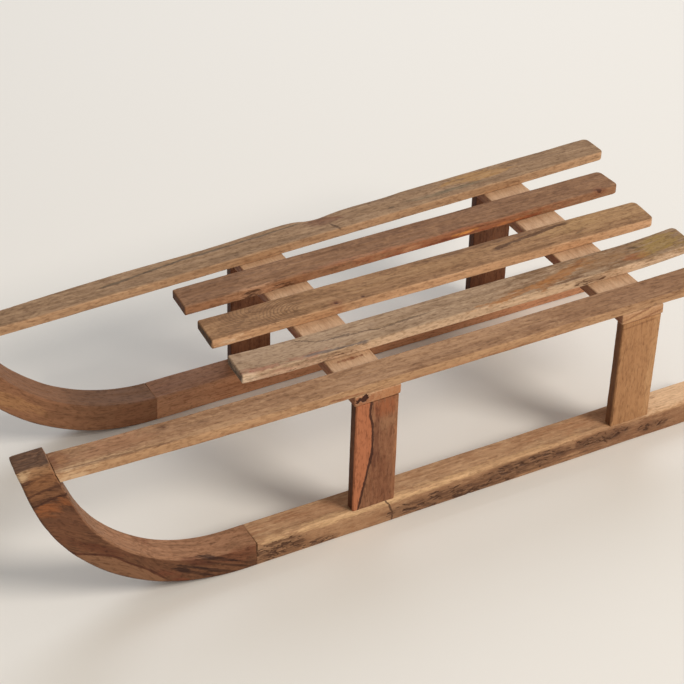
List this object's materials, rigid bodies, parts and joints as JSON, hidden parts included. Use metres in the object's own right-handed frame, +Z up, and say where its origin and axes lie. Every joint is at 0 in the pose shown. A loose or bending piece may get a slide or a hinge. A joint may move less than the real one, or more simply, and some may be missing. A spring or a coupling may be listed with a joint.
{
  "type": "wooden sled",
  "caption": "Small hand-pulled wooden bench sled: flat runners with upturned horns, upright posts, crossbars and a seat of lengthwise slats between side rails.",
  "frame": {"origin": "centre of the bounding box's footprint, on the ground under the runners", "axes": "+X towards the rear of the sled, horns at -X, +Y towards its right side, +Z up"},
  "size_m": [0.6016, 0.2248, 0.151],
  "materials": {
    "seat_wood": "raw sanded",
    "crossbar_wood": "raw sanded",
    "runner_wood": "raw sanded",
    "horn_wood": "raw sanded",
    "post_wood": "raw sanded"
  },
  "bodies": {
    "root": {"runner_left": "runner_wood", "runner_right": "runner_wood", "horn_left": "horn_wood", "horn_right": "horn_wood", "post_front_left": "post_wood", "post_front_right": "post_wood", "post_rear_left": "post_wood", "post_rear_right": "post_wood", "crossbar_front": "crossbar_wood", "crossbar_rear": "crossbar_wood", "side_rail_left": "seat_wood", "side_rail_right": "seat_wood", "seat_slat_left": "seat_wood", "seat_slat_centre": "seat_wood", "seat_slat_right": "seat_wood"}
  },
  "joints": []
}
